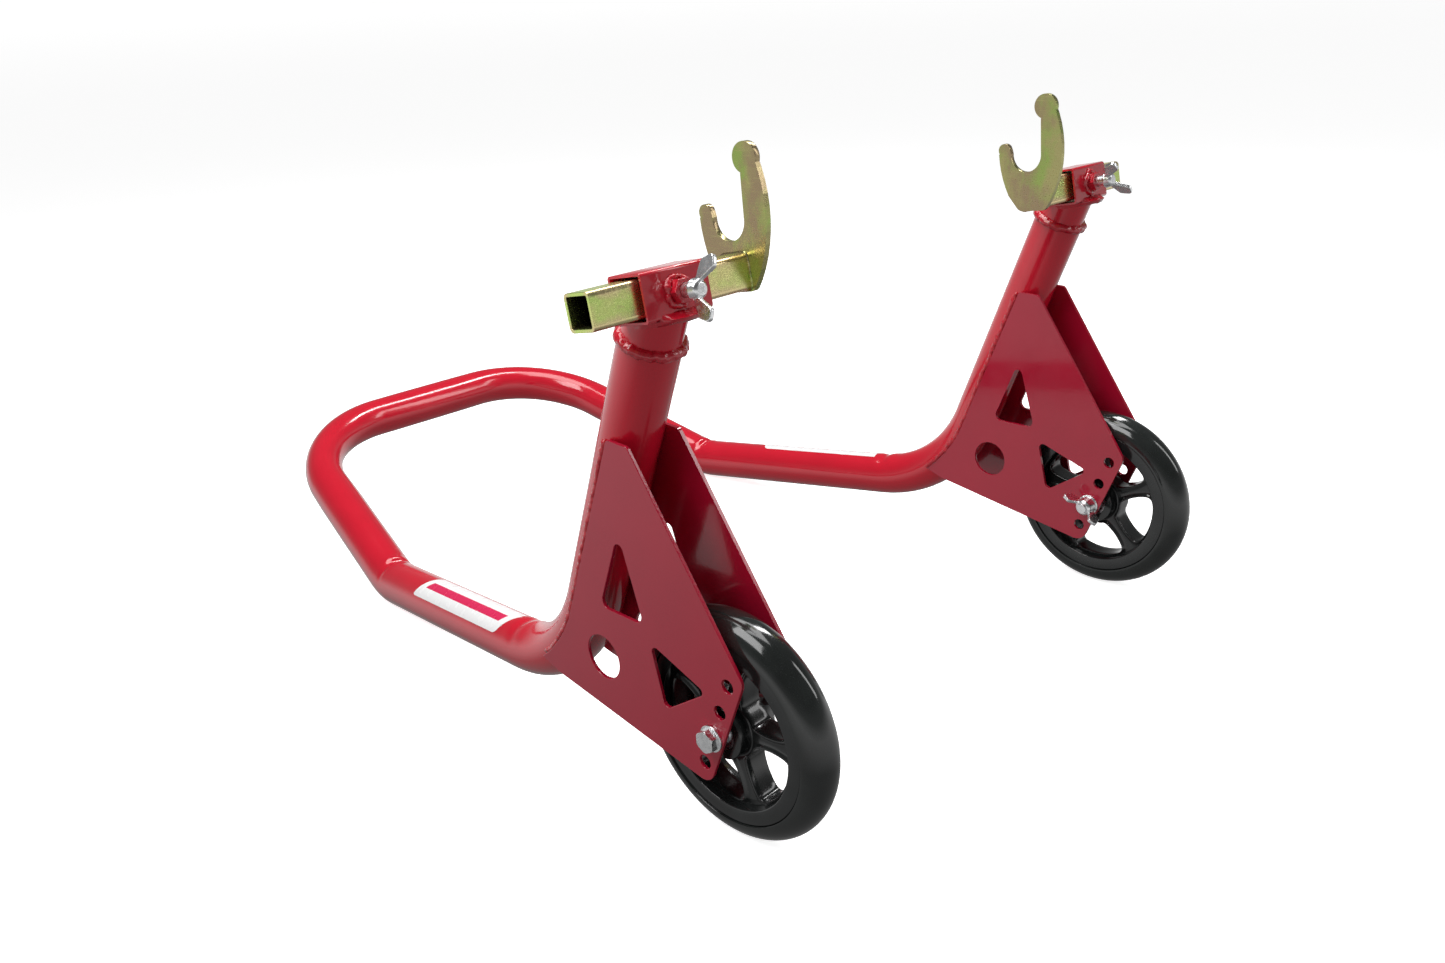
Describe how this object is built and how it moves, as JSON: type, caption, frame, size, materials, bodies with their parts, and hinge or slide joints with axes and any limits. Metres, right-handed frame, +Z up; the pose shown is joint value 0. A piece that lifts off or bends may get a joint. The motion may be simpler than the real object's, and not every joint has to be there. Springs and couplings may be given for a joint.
{
  "type": "motorcycle rear paddock stand",
  "caption": "Two-wheeled tubular rear paddock stand with sliding hook arms, screw clamps and a rear lifting loop.",
  "frame": {"origin": "on the floor, in the middle of the stand's length and width", "axes": "+Z up; +Y from the wheels towards the handle loop; +X across the stand, along the axles and the sliding arms"},
  "size_m": [0.556, 0.779, 0.4036],
  "materials": {
    "frame_red": "gloss powder coat",
    "plate_red": "satin powder coat",
    "passivated": "yellow zinc passivated",
    "zinc": "bright zinc plated",
    "bearing_steel": "ground",
    "rim_black": "gloss moulded",
    "tyre_black": "smooth polyurethane",
    "label_white": "gloss film"
  },
  "bodies": {
    "stand": {"frame_tube": "frame_red", "side_label_left": "label_white", "side_label_right": "label_white", "top_stub_left": "frame_red", "top_stub_right": "frame_red", "stub_weld_left": "frame_red", "stub_weld_right": "frame_red", "fork_plate_outer_left": "plate_red", "fork_plate_outer_right": "plate_red", "fork_plate_inner_left": "plate_red", "fork_plate_inner_right": "plate_red", "clamp_sleeve_left": "frame_red", "clamp_sleeve_right": "frame_red", "clamp_nut_left": "frame_red", "clamp_nut_right": "frame_red", "axle_bolt_left": "zinc", "axle_bolt_right": "zinc", "axle_washers_left": "zinc", "axle_washers_right": "zinc", "side_spacers_left": "zinc", "side_spacers_right": "zinc", "hub_spacer_left": "zinc", "hub_spacer_right": "zinc", "bearing_inner_rings_left": "bearing_steel", "bearing_inner_rings_right": "bearing_steel"},
    "wheel_left": {"tyre_left": "tyre_black", "rim_left": "rim_black", "bearing_outer_rings_left": "bearing_steel", "bearing_balls_left": "bearing_steel", "bearing_shields_left": "zinc"},
    "arm_left": {"support_arm_left": "passivated", "hook_plate_left": "passivated"},
    "clamp_screw_left": {"clamp_screw_left": "zinc"},
    "axle_wing_nut_left": {"axle_wing_nut_left": "zinc"},
    "wheel_right": {"tyre_right": "tyre_black", "rim_right": "rim_black", "bearing_outer_rings_right": "bearing_steel", "bearing_balls_right": "bearing_steel", "bearing_shields_right": "zinc"},
    "arm_right": {"support_arm_right": "passivated", "hook_plate_right": "passivated"},
    "clamp_screw_right": {"clamp_screw_right": "zinc"},
    "axle_wing_nut_right": {"axle_wing_nut_right": "zinc"}
  },
  "joints": [
    {"name": "wheel_spin_left", "type": "hinge", "parent": "stand", "child": "wheel_left", "pos_m": [-0.222, -0.3145, 0.075], "axis": [1, 0, 0], "continuous": true},
    {"name": "arm_slide_left", "type": "slide", "parent": "stand", "child": "arm_left", "axis": [-1, 0, 0], "range_m": [-0.04, 0.035]},
    {"name": "clamp_screw_turn_left", "type": "hinge", "parent": "stand", "child": "clamp_screw_left", "pos_m": [-0.222, -0.2732, 0.3305], "axis": [0, -0.9848, 0.1736], "range_deg": [0, 720]},
    {"name": "axle_wing_nut_turn_left", "type": "hinge", "parent": "stand", "child": "axle_wing_nut_left", "pos_m": [-0.19, -0.3145, 0.075], "axis": [1, 0, 0], "range_deg": [0, 720]},
    {"name": "wheel_spin_right", "type": "hinge", "parent": "stand", "child": "wheel_right", "pos_m": [0.222, -0.3145, 0.075], "axis": [1, 0, 0], "continuous": true},
    {"name": "arm_slide_right", "type": "slide", "parent": "stand", "child": "arm_right", "axis": [1, 0, 0], "range_m": [-0.04, 0.035]},
    {"name": "clamp_screw_turn_right", "type": "hinge", "parent": "stand", "child": "clamp_screw_right", "pos_m": [0.222, -0.2732, 0.3305], "axis": [0, -0.9848, 0.1736], "range_deg": [0, 720]},
    {"name": "axle_wing_nut_turn_right", "type": "hinge", "parent": "stand", "child": "axle_wing_nut_right", "pos_m": [0.19, -0.3145, 0.075], "axis": [-1, 0, 0], "range_deg": [0, 720]}
  ]
}
